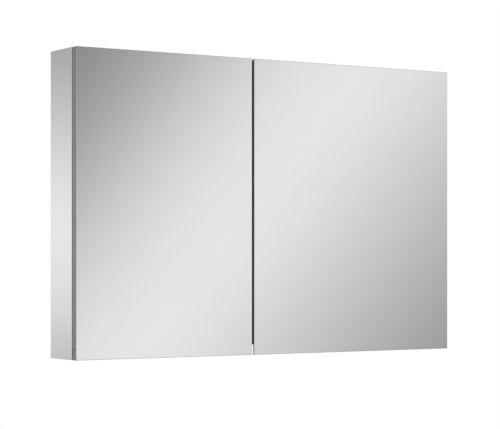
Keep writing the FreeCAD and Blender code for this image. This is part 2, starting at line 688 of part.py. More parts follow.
def door_pieces(side, width):
    """the pieces of one door hung on the left, by name"""
    hung = f"{side}_door"
    free_x = f"({width} - cabinet_width / 2)"
    meeting = f"({free_x} + door_gap / 2)"
    catch_line = f"({meeting} - board_thickness / 2 - catch_width / 2)"
    pieces = {}

    mirror = padded(f"{hung}_front_glass", "XZ_Plane", (width, "cabinet_height"), "front_mirror_thickness",
                    (left_x, mirror_back_y, bottom_z))
    mirror_front = -DIMENSIONS["front_mirror_thickness"]
    bevel(mirror, f"{hung}_front_arris", "mirror_arris", lambda point: is_zero(point.y - mirror_front))
    pieces["front_mirror"] = mirror

    inside_size = [f"{outer} - 2 * (frame_width + panel_clearance)" for outer in (width, door_height)]
    inside_x = f"({left_x} + frame_width + panel_clearance)"
    inside_z = f"({door_bottom_z} + frame_width + panel_clearance)"
    back = padded(f"{hung}_back_glass", "XZ_Plane", inside_size, "back_mirror_thickness",
                  (inside_x, door_back_y, inside_z))
    bevel(back, f"{hung}_back_arris", "mirror_arris", lambda point: is_zero(point.y))
    pieces["back_mirror"] = back
    pieces["core_board"] = padded(f"{hung}_core", "XZ_Plane", inside_size, "core_thickness",
                                  (inside_x, f"{door_back_y} - back_mirror_thickness", inside_z))

    half = "frame_width / 2"
    screw_x = (f"({left_x} + corner_screw_inset)", f"({free_x} - corner_screw_inset)")
    screw_z = (f"({door_bottom_z} + corner_screw_inset)", f"({door_top_z} - corner_screw_inset)")
    stile_x = (f"({left_x} + {half})", f"({free_x} - {half})")
    rail_z = (f"({door_bottom_z} + {half})", f"({door_top_z} - {half})")
    corner_places = [(x, door_back_y, z, "-y") for x in stile_x for z in screw_z]
    corner_places += [(x, door_back_y, z, "-y") for x in screw_x for z in rail_z]
    pieces["corner_screws"] = repeated(f"{hung}_keys_screws", corner_screw[0], corner_places)
    strike_z = [f"({catch_z} {sign} (strike_height / 2 - strike_screw_inset))" for sign in "+-"]
    strike_places = [(catch_line, strike_face_y, z, "-y") for z in strike_z]
    pieces["strike_screws"] = repeated(f"{hung}_plate_screws", strike_screw[0], strike_places)

    upper_bush_hole = rod(f"{hung}_upper_bush_hole", f"{bush_radius} + bush_press_clearance", "bush_length",
                          (pin_x, pin_y, door_top_z))
    lower_bush_hole = mirrored(f"{hung}_lower_bush_hole", upper_bush_hole, UPRIGHT, door_middle_z)

    def corner_holes(piece):
        return repeated(f"{hung}_{piece}_screw_holes", corner_screw[1], corner_places)

    def strike_holes(piece):
        return repeated(f"{hung}_{piece}_strike_holes", strike_screw[1], strike_places)

    bars = {
        "hinge_stile": (door_height, (left_x, door_back_y, door_bottom_z), 0, []),
        "free_stile": (door_height, (free_x, door_back_y, door_top_z), 180, [strike_holes("stile")]),
        "top_rail": (width, (left_x, door_back_y, door_top_z), 90, [upper_bush_hole]),
        "bottom_rail": (width, (free_x, door_back_y, door_bottom_z), -90, [lower_bush_hole]),
    }
    for bar, (length, at, degrees, extra) in bars.items():
        blank = frame_bar(f"{hung}_{bar}_bar", length, at, degrees)
        pieces[bar] = cut(f"{hung}_{bar}_drilled", blank, [corner_holes(bar), *extra])

    keys = []
    for level, z, z_sign, bush_hole in (("upper", door_top_z, "-", upper_bush_hole),
                                        ("lower", door_bottom_z, "+", lower_bush_hole)):
        for edge, x, x_sign, extra in (("hinge", left_x, "+", [bush_hole]), ("free", free_x, "-", [])):
            name = f"{hung}_{level}_{edge}_key"
            blank = corner_key(f"{name}_blank", x, z, x_sign, z_sign)
            keys.append(cut(name, blank, [corner_holes(f"{level}_{edge}_key"), *extra]))
    pieces["corner_keys"] = group(f"{hung}_keys", keys)

    sleeve = fuse(f"{hung}_bush_blank", [
        rod(f"{hung}_bush_sleeve", bush_radius, "bush_length", (pin_x, pin_y, door_top_z)),
        rod(f"{hung}_bush_flange", f"{bush_radius} + bush_flange_width", "bush_flange_thickness",
            (pin_x, pin_y, door_top_z), "+z"),
    ])
    bush_bore = rod(f"{hung}_bush_bore", "pin_diameter / 2 + bush_running_clearance",
                    "bush_length + bush_flange_thickness",
                    (pin_x, pin_y, f"{door_top_z} + bush_flange_thickness"))
    bush = cut(f"{hung}_upper_bush", sleeve, [bush_bore])
    lower_bush = mirrored(f"{hung}_lower_bush", bush, UPRIGHT, door_middle_z)
    pieces["hinge_bushes"] = group(f"{hung}_bushes", [bush, lower_bush])

    strike_x = (f"({catch_line} - strike_width / 2)", f"({catch_line} + strike_width / 2)")
    strike_span = (f"({catch_z} - strike_height / 2)", f"({catch_z} + strike_height / 2)")
    strike = box(f"{hung}_strike_blank", strike_x, (door_back_y, strike_face_y), strike_span)
    pieces["strike_plate"] = cut(f"{hung}_strike", strike, [strike_holes("strike")])

    bumper_x = f"({meeting} - (door_gap + board_thickness) / 4)"
    bumper = rod(f"{hung}_upper_bumper", "bumper_diameter / 2", "door_stand_off - bumper_gap",
                 (bumper_x, door_back_y, bumper_z), "+y")
    lower_bumper = mirrored(f"{hung}_lower_bumper", bumper, UPRIGHT, door_middle_z)
    pieces["bumpers"] = group(f"{hung}_bumper_pair", [bumper, lower_bumper])
    return pieces


for piece, obj in door_pieces("left", left_door_width).items():
    node(f"left_door_{piece}", obj)
for piece, obj in door_pieces("right", right_door_width).items():
    name = f"right_door_{piece}"
    node(name, mirrored(name, obj, ACROSS))

# Check every object, then write one file for each piece

doc.recompute()
for obj in doc.Objects:
    if "Invalid" in obj.State or "Error" in obj.State:
        raise ValueError(f"{obj.Name} failed: {obj.State}")
for name, obj in nodes.items():
    if obj.Shape.isNull() or not obj.Shape.isValid() or not obj.Shape.Solids:
        raise ValueError(f"{name} has no sound solid")

os.makedirs("parts", exist_ok=True)
for name, obj in nodes.items():
    obj.Shape.exportStep(f"parts/{name}.step")
    box_size = obj.Shape.BoundBox
    print(f"{name}: {len(obj.Shape.Solids)} solids, {obj.Shape.Volume:.0f} mm3, "
          f"{box_size.XLength:.1f} x {box_size.YLength:.1f} x {box_size.ZLength:.1f} mm")
print(len(nodes), "pieces")
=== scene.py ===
"""Looks of a wall cabinet with two mirror doors, mirror sides, white boards and glass shelves."""
import json
import math

import bpy
import numpy as np
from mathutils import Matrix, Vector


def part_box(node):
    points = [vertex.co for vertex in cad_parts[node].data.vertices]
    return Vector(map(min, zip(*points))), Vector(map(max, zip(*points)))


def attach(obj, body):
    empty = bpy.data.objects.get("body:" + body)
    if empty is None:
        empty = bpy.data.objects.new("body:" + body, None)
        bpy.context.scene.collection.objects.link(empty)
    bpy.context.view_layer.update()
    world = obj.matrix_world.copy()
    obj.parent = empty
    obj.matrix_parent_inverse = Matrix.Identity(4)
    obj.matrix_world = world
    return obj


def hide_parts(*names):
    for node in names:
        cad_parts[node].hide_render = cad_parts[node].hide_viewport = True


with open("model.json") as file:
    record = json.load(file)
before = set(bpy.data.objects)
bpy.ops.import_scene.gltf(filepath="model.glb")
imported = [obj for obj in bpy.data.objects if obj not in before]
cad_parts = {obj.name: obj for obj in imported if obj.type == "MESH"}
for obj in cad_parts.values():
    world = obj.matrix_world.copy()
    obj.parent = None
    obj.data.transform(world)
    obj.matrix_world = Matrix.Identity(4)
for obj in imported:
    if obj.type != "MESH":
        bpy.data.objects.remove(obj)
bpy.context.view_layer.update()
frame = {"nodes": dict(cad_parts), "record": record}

MM = 0.001
NODES = frame["nodes"]
SLOTS = {part["node"]: part["material_slot"] for part in frame["record"]["subparts"]}
DOORS = ("left_door", "right_door")
BUMPERS = ("left_door_bumpers", "right_door_bumpers")

# Ways that a face can look, and the cosines between which a slanted face starts to count as looking that way
FRONT = np.array([0.0, -1.0, 0.0])
LEFT = np.array([-1.0, 0.0, 0.0])
UP = np.array([0.0, 0.0, 1.0])
FACE_COSINES = (0.4, 0.6)

# Stretches of a noise's range, about its middle of 0.5, that are spread over a full change of tone or gloss
NARROW = (0.3, 0.7)
MIDDLE = (0.25, 0.75)
WIDE = (0.2, 0.8)

# Camera: the picture's size, its focal length and eye level in pixels, and where it stands
PICTURE_WIDTH = 500
PICTURE_HEIGHT = 429
FOCAL_PIXELS = 1797.0
EYE_LEVEL_ROW = 261.35
CAMERA_PLACE = (-2.0017, -3.1810, -0.1107)
CAMERA_TURN = math.radians(32.334)      # to the right of straight at the wall
SENSOR_WIDTH = 36.0

# Studio: how bright the surround looks in the mirrors, and how much of it lights the boards
STUDIO_PALE = 1.03
STUDIO_DARK = 0.253
STUDIO_FAR = 0.62                       # share of the light that comes back far from a band
STUDIO_SLANT = math.radians(38.1)       # of the band in front of the cabinet
# A band's light rises from Rise to Top and falls from Turn to Fall, and some of it is back at Far
FRONT_BAND = {"Rise": -0.171, "Top": 0.01, "Turn": -0.086, "Fall": 0.182, "Far": 0.45}
BACK_BAND = {"Rise": -0.137, "Top": 0.049, "Turn": -0.035, "Fall": 0.186, "Far": 0.45}
BAND_CHANGE = (-0.25, 0.25)             # on Y, from the front band to the back band
SURROUND_LIGHT = 0.70
GLOSSY_BOUNCES = 12

# Floor: its level, size and tones, and the distances from its middle between which it ends
FLOOR_LEVEL = -1.2
FLOOR_RADIUS = 4.5
FLOOR_CORNERS = 96
FLOOR_PATCH = 0.4                       # size of its uneven patches
FLOOR_TONES = (0.70, 0.74)
# Painted shade: the floor's tones as the mirrors see them, darker than the same floor seen straight
FLOOR_TONES_PAINTED_SHADE = (0.58, 0.64)
FLOOR_FADE = (0.25 * FLOOR_RADIUS, 0.95 * FLOOR_RADIUS)

# Lamps: where each stands, what it is aimed at, the side of its square and its watts
LAMPS = {
    "key_lamp": ((-1.7, -2.6, 1.9), (0.0, -0.1, 0.0), 2.2, 36.0),
    "fill_lamp": ((2.3, -2.2, 0.9), (0.0, -0.1, 0.0), 2.0, 16.0),
    "back_lamp": ((0.6, 2.6, 1.6), (0.0, 0.0, 0.0), 2.2, 20.0),
}


# Node helpers

def add(tree, kind, inputs=None, **settings):
    """a node with its settings and inputs: a socket is linked, a plain value is set"""
    node = tree.nodes.new(kind)
    for name, value in settings.items():
        setattr(node, name, value)
    for key, value in (inputs or {}).items():
        if isinstance(value, bpy.types.NodeSocket):
            tree.links.new(value, node.inputs[key])
        else:
            node.inputs[key].default_value = value
    return node


def calc(tree, operation, *values):
    """one arithmetic step"""
    node = add(tree, "ShaderNodeMath", dict(enumerate(values)), operation=operation)
    return node.outputs[0]


def vector_calc(tree, operation, *values):
    """one step on vectors, which gives a number or a vector"""
    node = add(tree, "ShaderNodeVectorMath", dict(enumerate(values)), operation=operation)
    return node.outputs["Value" if operation in ("DOT_PRODUCT", "LENGTH") else "Vector"]


def parts_of(tree, vector):
    """the X, Y and Z of a vector"""
    return add(tree, "ShaderNodeSeparateXYZ", {"Vector": vector}).outputs


def smooth(tree, value, low, high, to_low=0.0, to_high=1.0):
    """a smooth step from to_low at low to to_high at high"""
    node = add(tree, "ShaderNodeMapRange", {
        "Value": value, "From Min": low, "From Max": high, "To Min": to_low, "To Max": to_high,
    }, interpolation_type="SMOOTHSTEP")
    return node.outputs["Result"]


def blend(tree, factor, first, second):
    """a colour between two colours"""
    node = add(tree, "ShaderNodeMix", {0: factor, 6: first, 7: second}, data_type="RGBA")
    return node.outputs[2]


def laid_over(tree, mask, share, under, over):
    """a colour with another one over it, as thick as a share of a mask"""
    return blend(tree, calc(tree, "MULTIPLY", mask, share), under, over)


def between(tree, factor, first, second):
    """a number between two numbers"""
    return add(tree, "ShaderNodeMix", {0: factor, 2: first, 3: second}).outputs[0]


def noise(tree, point, scale, detail=3.0, roughness=0.55):
    """cloudy noise from 0 to 1, with about scale clouds to each unit of point"""
    node = add(tree, "ShaderNodeTexNoise", {
        "Vector": point, "Scale": scale, "Detail": detail, "Roughness": roughness,
    })
    return node.outputs["Fac"]


def grey(level):
    """a solid grey"""
    return (level, level, level, 1.0)


def faces(tree, facing, way, both_ways=False):
    """1 on faces that look a given way, or that way and the opposite one, and 0 on the others"""
    share = vector_calc(tree, "DOT_PRODUCT", facing, way)
    if both_ways:
        share = calc(tree, "ABSOLUTE", share)
    return smooth(tree, share, *FACE_COSINES)


def effect(name, inputs, outputs):
    """an empty node group with named sockets: its tree, what goes in and what comes out"""
    tree = bpy.data.node_groups.new(name, "ShaderNodeTree")
    for socket, kind in inputs.items():
        tree.interface.new_socket(socket, in_out="INPUT", socket_type=kind)
    for socket, kind in outputs.items():
        tree.interface.new_socket(socket, in_out="OUTPUT", socket_type=kind)
    entry = tree.nodes.new("NodeGroupInput")
    leave = tree.nodes.new("NodeGroupOutput")
    return tree, entry.outputs, leave.inputs


def place(tree, group, inputs):
    """an effect placed in a material, with its own values"""
    return add(tree, "ShaderNodeGroup", inputs, node_tree=group).outputs


def emptied(holder):
    """the node tree of a material or of the world, with nothing in it"""
    holder.use_nodes = True
    holder.node_tree.nodes.clear()
    return holder.node_tree


# Effects that are used more than once

FLOAT = "NodeSocketFloat"
VECTOR = "NodeSocketVector"
COLOUR = "NodeSocketColor"

STREAK_DRIFT = 0.12                     # scale of the slow drift, where the fine lines have 1
GRAIN_FINER = 11.0                      # times as fine as the uneven tone
# Wiping marks: the turn and stretch of the finer noise, and the stretches of both noises that show
WIPE_SLANT = (0.2, 0.7, 0.3)
WIPE_STRETCH = (0.2, 0.2, 0.7)
WIPE_BROAD = (0.35, 0.7)
WIPE_FINE = (0.3, 0.75)
# Chips: their tones, and the shade in the gaps between them
CHIP_WOOD = ((0.30, 0.19, 0.10, 1.0), (0.66, 0.50, 0.32, 1.0))
CHIP_GAP = (0.16, 0.10, 0.06, 1.0)
CHIP_GAP_FADE = (0.25, 0.75)            # from the middle of a chip, in chip sizes
CHIP_GAP_SHARE = 0.5
CHIP_FLATNESS = (1.0, 1.0, 1.8)
CHIP_BEND = (4 * MM, 4 * MM, 4 * MM)
# Wood: how noise is squeezed along X, Y and Z, how the rings bend and repeat, and what each adds to the tone
RING_SQUEEZE = (3.0, 40.0, 40.0)
RING_CLOUDS = 0.6
RING_BEND = 14.0
RING_WAVES = 2.2
RING_SHARE = 0.3
FIBRE_SQUEEZE = (9.0, 420.0, 420.0)
FIBRE_SHARE = 0.4
PORE_SQUEEZE = (90.0, 2400.0, 2400.0)
PORE_START = (0.58, 0.72)
PORE_SHARE = 0.3


def border_effect():
    """distance of a point to the nearest side of a box, and to the mitre planes between its X and Z sides

    A side that isn't to count is moved a metre away by whoever gives the box."""
    tree, given, result = effect("border", {"Point": VECTOR, "Low": VECTOR, "High": VECTOR},
                                 {"Distance": FLOAT, "Mitre": FLOAT})
    above = vector_calc(tree, "SUBTRACT", given["Point"], given["Low"])
    below = vector_calc(tree, "SUBTRACT", given["High"], given["Point"])
    nearest = parts_of(tree, vector_calc(tree, "MINIMUM", above, below))
    least = calc(tree, "MINIMUM", calc(tree, "MINIMUM", nearest["X"], nearest["Y"]), nearest["Z"])
    uneven = calc(tree, "ABSOLUTE", calc(tree, "SUBTRACT", nearest["X"], nearest["Z"]))
    tree.links.new(least, result["Distance"])
    tree.links.new(calc(tree, "MULTIPLY", uneven, math.sqrt(0.5)), result["Mitre"])
    return tree


def streaks_effect():
    """fine lines: noise on coordinates that are squeezed along the lines, with a slow drift across them"""
    tree, given, result = effect("streaks", {"Point": VECTOR, "Density": VECTOR},
                                 {"Fine": FLOAT, "Slow": FLOAT})
    squeezed = vector_calc(tree, "MULTIPLY", given["Point"], given["Density"])
    tree.links.new(noise(tree, squeezed, 1.0, detail=5.0, roughness=0.65), result["Fine"])
    tree.links.new(noise(tree, squeezed, STREAK_DRIFT, detail=2.0), result["Slow"])
    return tree


def smudge_effect():
    """wiping marks: broad noise with a slanted, finer noise laid over it, from 0 to 1"""
    tree, given, result = effect("smudge", {"Point": VECTOR, "Size": FLOAT}, {"Mask": FLOAT})
    scale = calc(tree, "DIVIDE", 1.0, given["Size"])
    broad = noise(tree, given["Point"], scale, detail=2.0)
    slanted = add(tree, "ShaderNodeMapping", {
        "Vector": given["Point"], "Rotation": WIPE_SLANT, "Scale": WIPE_STRETCH,
    }, vector_type="TEXTURE").outputs[0]
    wiped = noise(tree, slanted, scale, detail=4.0, roughness=0.6)
    both = calc(tree, "MULTIPLY", smooth(tree, broad, *WIPE_BROAD), smooth(tree, wiped, *WIPE_FINE))
    tree.links.new(both, result["Mask"])
    return tree


def mottle_effect():
    """uneven tone at one size and grain at a finer one"""
    tree, given, result = effect("mottle", {"Point": VECTOR, "Size": FLOAT}, {"Tone": FLOAT, "Grain": FLOAT})
    scale = calc(tree, "DIVIDE", 1.0, given["Size"])
    tree.links.new(noise(tree, given["Point"], scale), result["Tone"])
    fine_scale = calc(tree, "MULTIPLY", scale, GRAIN_FINER)
    tree.links.new(noise(tree, given["Point"], fine_scale, detail=2.0, roughness=0.7), result["Grain"])
    return tree


def chips_effect():
    """pressed wood chips: cells with a tone each, bent by noise, and the gaps between them"""
    tree, given, result = effect("chips", {"Point": VECTOR, "Size": FLOAT},
                                 {"Colour": COLOUR, "Height": FLOAT})
    scale = calc(tree, "DIVIDE", 1.0, given["Size"])
    drift = add(tree, "ShaderNodeTexNoise", {"Vector": given["Point"], "Scale": scale, "Detail": 2.0})
    shift = vector_calc(tree, "SUBTRACT", drift.outputs["Color"], (0.5, 0.5, 0.5))
    bent = vector_calc(tree, "ADD", given["Point"], vector_calc(tree, "MULTIPLY", shift, CHIP_BEND))
    flat = vector_calc(tree, "MULTIPLY", bent, CHIP_FLATNESS)
    cells = add(tree, "ShaderNodeTexVoronoi", {"Vector": flat, "Scale": scale})
    tone = add(tree, "ShaderNodeSeparateColor", {0: cells.outputs["Color"]}).outputs[0]
    gap = smooth(tree, cells.outputs["Distance"], *CHIP_GAP_FADE)
    wood = blend(tree, tone, *CHIP_WOOD)
    tree.links.new(laid_over(tree, gap, CHIP_GAP_SHARE, wood, CHIP_GAP), result["Colour"])
    tree.links.new(calc(tree, "SUBTRACT", tone, gap), result["Height"])
    return tree


def grain_effect():
    """wood along X: rings as bent waves across the grain, fine fibres along it and short pores"""
    tree, given, result = effect("grain", {"Point": VECTOR, "Pale": COLOUR, "Dark": COLOUR},
                                 {"Colour": COLOUR, "Height": FLOAT})
    along = vector_calc(tree, "MULTIPLY", given["Point"], RING_SQUEEZE)
    across = parts_of(tree, along)
    depth = calc(tree, "ADD", across["Y"], across["Z"])
    bent = calc(tree, "MULTIPLY_ADD", noise(tree, along, RING_CLOUDS), RING_BEND, depth)
    wave = calc(tree, "SINE", calc(tree, "MULTIPLY", bent, RING_WAVES))
    ring = calc(tree, "MULTIPLY_ADD", wave, 0.5, 0.5)
    fibres = vector_calc(tree, "MULTIPLY", given["Point"], FIBRE_SQUEEZE)
    fibre = smooth(tree, noise(tree, fibres, 1.0, detail=4.0, roughness=0.6), *NARROW)
    pores = vector_calc(tree, "MULTIPLY", given["Point"], PORE_SQUEEZE)
    pore = smooth(tree, noise(tree, pores, 1.0, detail=2.0), *PORE_START)
    tone = calc(tree, "MULTIPLY_ADD", ring, RING_SHARE, calc(tree, "MULTIPLY", fibre, FIBRE_SHARE))
    tone = calc(tree, "MULTIPLY_ADD", pore, PORE_SHARE, tone)
    tree.links.new(blend(tree, tone, given["Pale"], given["Dark"]), result["Colour"])
    tree.links.new(calc(tree, "MULTIPLY", pore, -1.0), result["Height"])
    return tree


def band_effect():
    """a soft light band across a coordinate, dark on both sides, with some light coming back far from it"""
    tree, given, result = effect("band", {
        "Along": FLOAT, "Rise": FLOAT, "Top": FLOAT, "Turn": FLOAT, "Fall": FLOAT, "Far": FLOAT,
    }, {"Light": FLOAT})
    rise = smooth(tree, given["Along"], given["Rise"], given["Top"])
    fall = smooth(tree, given["Along"], given["Turn"], given["Fall"])
    out = calc(tree, "ABSOLUTE", given["Along"])
    away = smooth(tree, out, given["Fall"], given["Far"], to_high=STUDIO_FAR)
    tree.links.new(calc(tree, "MAXIMUM", calc(tree, "SUBTRACT", rise, fall), away), result["Light"])
    return tree


BORDER = border_effect()
STREAKS = streaks_effect()
SMUDGE = smudge_effect()
MOTTLE = mottle_effect()
CHIPS = chips_effect()
GRAIN = grain_effect()
BAND = band_effect()


# Materials

def corners(node):
    """a node's lowest and highest corner, as arrays"""
    return [np.array(corner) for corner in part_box(node)]


def finish_of(name, **sockets):
    """a new material: its tree and shader, and the surface's point and facing in the cabinet's frame"""
    material = bpy.data.materials.new(name)
    tree = emptied(material)
    shader = add(tree, "ShaderNodeBsdfPrincipled", sockets)
    add(tree, "ShaderNodeOutputMaterial", {"Surface": shader.outputs[0]})
    where = add(tree, "ShaderNodeTexCoord").outputs
    return material, tree, shader, where["Object"], where["Normal"]


def feed(tree, shader, **sockets):
    """link results to the shader's sockets, named with _ for a space"""
    for name, value in sockets.items():
        tree.links.new(value, shader.inputs[name.replace("_", " ")])


def raised(tree, shader, height, depth, strength=0.5):
    """a bump of a real depth on the shader's normal"""
    bump = add(tree, "ShaderNodeBump", {"Height": height, "Distance": depth, "Strength": strength})
    tree.links.new(bump.outputs[0], shader.inputs["Normal"])


# Mirrors: clean and wiped silver, the line at its border, the glass's edges and the paint behind it
SILVER = ((0.905, 0.91, 0.908, 1.0), (0.894, 0.899, 0.897, 1.0))
SILVER_LINE = (0.62, 0.66, 0.65, 1.0)
SILVER_LINE_FADE = (0.5 * MM, 1.6 * MM)
MIRROR_EDGE = ((0.125, 0.14, 0.135, 1.0), (0.16, 0.175, 0.17, 1.0))
MIRROR_PAINT = (0.30, 0.33, 0.34, 1.0)
MIRROR_WIPES = 0.16                     # size of the wiping marks
MIRROR_ROUGH = 0.012
MIRROR_WIPED_ROUGHER = 0.03
MIRROR_PAINT_ROUGHER = 0.5


def mirror_finish(node, outward):
    """silvered glass: bright face with a darker line at the border, grey-green edges, painted back"""
    low, high = corners(node)
    through = np.abs(outward)
    material, tree, shader, point, facing = finish_of(f"mirror_{node}")
    silver = faces(tree, facing, outward)
    paint = faces(tree, facing, -outward)
    border = place(tree, BORDER, {"Point": point, "Low": low - through, "High": high + through})["Distance"]
    sealed = smooth(tree, border, *SILVER_LINE_FADE)
    wiped = place(tree, SMUDGE, {"Point": point, "Size": MIRROR_WIPES})["Mask"]
    bright = blend(tree, sealed, SILVER_LINE, blend(tree, wiped, *SILVER))
    colour = blend(tree, silver, blend(tree, wiped, *MIRROR_EDGE), bright)
    gloss = calc(tree, "MULTIPLY_ADD", wiped, MIRROR_WIPED_ROUGHER, MIRROR_ROUGH)
    feed(tree, shader,
         Base_Color=blend(tree, paint, colour, MIRROR_PAINT),
         Metallic=silver,
         Roughness=calc(tree, "MULTIPLY_ADD", paint, MIRROR_PAINT_ROUGHER, gloss))
    return material


# Door frames: dark grey with streaks, black in the mitre joints, and painted shade in near black on the
# sides where the doors meet
DARK_GREY = ((0.375, 0.375, 0.38, 1.0), (0.425, 0.425, 0.43, 1.0))
FRAME_ROUGH = (0.33, 0.43)
FRAME_LINES_ALONG = 25.0                # squeeze of the noise along a bar
FRAME_LINES_ACROSS = 2600.0
FRAME_LINE_DEPTH = 0.02 * MM
FRAME_SLOW_SHARE = 0.3
MITRE_BLACK = grey(0.04)
MITRE_FADE = (0.22 * MM, 0.08 * MM)
MITRE_SUNK = -4.0                       # times the depth of the lines
# Painted shade: near black on the side of the frame that faces the other door, where the gap between the
# doors is in shade
GAP_PAINTED_SHADE = grey(0.025)
GAP_PAINTED_SHADE_FADE = (0.3 * MM, 0.1 * MM)
GAP_PAINTED_SHADE_ROUGHER = 0.2


def aluminium_finish(door, along):
    """dark grey anodised bar: fine drawn lines along it, satin gloss, a thin dark joint at the mitres

    The side that faces the other door is painted near black and a little rougher: painted shade of the
    narrow gap between the doors."""
    bars = [corners(f"{door}_{bar}") for bar in ("hinge_stile", "free_stile", "top_rail", "bottom_rail")]
    low = np.min([bar[0] for bar in bars], axis=0)
    high = np.max([bar[1] for bar in bars], axis=0)
    material, tree, shader, point, _ = finish_of(f"aluminium_{door}_{along}", Metallic=1.0)
    density = [FRAME_LINES_ALONG if axis == along else FRAME_LINES_ACROSS for axis in "xyz"]
    lines = place(tree, STREAKS, {"Point": point, "Density": density})
    tone = between(tree, FRAME_SLOW_SHARE, lines["Fine"], lines["Slow"])
    mitre = place(tree, BORDER, {"Point": point, "Low": low, "High": high})["Mitre"]
    joint = smooth(tree, mitre, *MITRE_FADE)
    meeting_side = high[0] if door == "left_door" else low[0]
    from_side = calc(tree, "SUBTRACT", parts_of(tree, point)["X"], meeting_side)
    # painted shade: the frame's side that faces the other door is coloured near black, as the gap between
    # the doors is in shade
    gap_shade = smooth(tree, calc(tree, "ABSOLUTE", from_side), *GAP_PAINTED_SHADE_FADE)
    drawn = blend(tree, smooth(tree, tone, *NARROW), *DARK_GREY)
    drawn = blend(tree, gap_shade, drawn, GAP_PAINTED_SHADE)
    satin = smooth(tree, lines["Fine"], *MIDDLE, *FRAME_ROUGH)
    feed(tree, shader,
         Base_Color=blend(tree, joint, drawn, MITRE_BLACK),
         Roughness=calc(tree, "MULTIPLY_ADD", gap_shade, GAP_PAINTED_SHADE_ROUGHER, satin))
    raised(tree, shader, calc(tree, "MULTIPLY_ADD", joint, MITRE_SUNK, lines["Fine"]), FRAME_LINE_DEPTH)
    return material


# Boards: white melamine with its joint to the edge band, and raw chips
MELAMINE = ((0.83, 0.832, 0.825, 1.0), (0.87, 0.87, 0.862, 1.0))
MELAMINE_PEARL = 7 * MM
MELAMINE_HEIGHT = 0.12                  # as a share of the height of the chips
MELAMINE_SMOOTHER = -0.45
BOARD_JOINT = (0.55, 0.54, 0.52, 1.0)
BOARD_JOINT_SHARE = 0.5
BOARD_JOINT_DEPTH = 0.9 * MM            # behind the face of the edge band
BOARD_JOINT_WIDTH = 0.15 * MM
BOARD_BAND_FADE = (0.4 * MM, 0.2 * MM)
BOARD_RELIEF = 0.25 * MM
CHIP_SIZE = 2.2 * MM
CHIP_ROUGH = (0.80, 0.90)


def board_finish(node, through):
    """white faced chipboard: pearl texture on faces and front edge, raw chips at the wall and in holes"""
    low, high = corners(node)
    thin = np.array([float(axis == through) for axis in "xyz"])
    material, tree, shader, point, facing = finish_of(f"board_{node}", **{"Specular IOR Level": 0.45})
    border = place(tree, BORDER, {
        "Point": point, "Low": low - thin, "High": high + thin - FRONT})["Distance"]
    banded = smooth(tree, border, *BOARD_BAND_FADE)
    white = calc(tree, "MAXIMUM", faces(tree, facing, thin, both_ways=True), banded)
    from_joint = calc(tree, "ABSOLUTE", calc(tree, "SUBTRACT", border, BOARD_JOINT_DEPTH))
    joint = smooth(tree, from_joint, BOARD_JOINT_WIDTH, 0.0)
    pearl = place(tree, MOTTLE, {"Point": point, "Size": MELAMINE_PEARL})
    melamine = blend(tree, pearl["Tone"], *MELAMINE)
    melamine = laid_over(tree, joint, BOARD_JOINT_SHARE, melamine, BOARD_JOINT)
    chips = place(tree, CHIPS, {"Point": point, "Size": CHIP_SIZE})
    rough = smooth(tree, pearl["Grain"], *WIDE, *CHIP_ROUGH)
    feed(tree, shader,
         Base_Color=blend(tree, white, chips["Colour"], melamine),
         Roughness=calc(tree, "MULTIPLY_ADD", white, MELAMINE_SMOOTHER, rough))
    pearl_height = calc(tree, "MULTIPLY", pearl["Grain"], MELAMINE_HEIGHT)
    raised(tree, shader, between(tree, white, chips["Height"], pearl_height), BOARD_RELIEF, strength=0.6)
    return material


# Back panel: brown fibre with stains, white lacquer, and the print of a wire screen
HARDBOARD_BROWN = ((0.20, 0.125, 0.07, 1.0), (0.36, 0.245, 0.15, 1.0))
HARDBOARD_FIBRE = 12 * MM
HARDBOARD_FIBRE_HEIGHT = 0.4            # as a share of the height of the print
HARDBOARD_CLOUD = (0.31, 0.20, 0.115, 1.0)
HARDBOARD_CLOUD_SHARE = 0.6
HARDBOARD_STAIN = (0.165, 0.10, 0.056, 1.0)
HARDBOARD_STAIN_SIZE = 0.22
HARDBOARD_STAIN_SHARE = 0.35
HARDBOARD_ROUGH = (0.85, 0.42)          # towards the wall and inside
HARDBOARD_RELIEF = 0.15 * MM
LACQUER = ((0.80, 0.80, 0.79, 1.0), (0.85, 0.85, 0.84, 1.0))
SCREEN_WIRES = (2600.0, 0.0, 2600.0)    # radians to the metre


def hardboard_finish():
    """back panel: white lacquer inside, brown pressed fibre with a wire-screen print towards the wall"""
    material, tree, shader, point, facing = finish_of("back_hardboard", **{"Specular IOR Level": 0.4})
    inside = faces(tree, facing, FRONT)
    fibre = place(tree, MOTTLE, {"Point": point, "Size": HARDBOARD_FIBRE})
    brown = blend(tree, fibre["Grain"], *HARDBOARD_BROWN)
    brown = laid_over(tree, fibre["Tone"], HARDBOARD_CLOUD_SHARE, brown, HARDBOARD_CLOUD)
    stain = place(tree, SMUDGE, {"Point": point, "Size": HARDBOARD_STAIN_SIZE})["Mask"]
    brown = laid_over(tree, stain, HARDBOARD_STAIN_SHARE, brown, HARDBOARD_STAIN)
    wires = parts_of(tree, vector_calc(tree, "MULTIPLY", point, SCREEN_WIRES))
    screen = calc(tree, "MULTIPLY", calc(tree, "SINE", wires["X"]), calc(tree, "SINE", wires["Z"]))
    feed(tree, shader,
         Base_Color=blend(tree, inside, brown, blend(tree, fibre["Tone"], *LACQUER)),
         Roughness=smooth(tree, inside, 0.0, 1.0, *HARDBOARD_ROUGH))
    print_height = calc(tree, "MULTIPLY", screen, calc(tree, "SUBTRACT", 1.0, inside))
    height = calc(tree, "MULTIPLY_ADD", fibre["Grain"], HARDBOARD_FIBRE_HEIGHT, print_height)
    raised(tree, shader, height, HARDBOARD_RELIEF, strength=0.6)
    return material


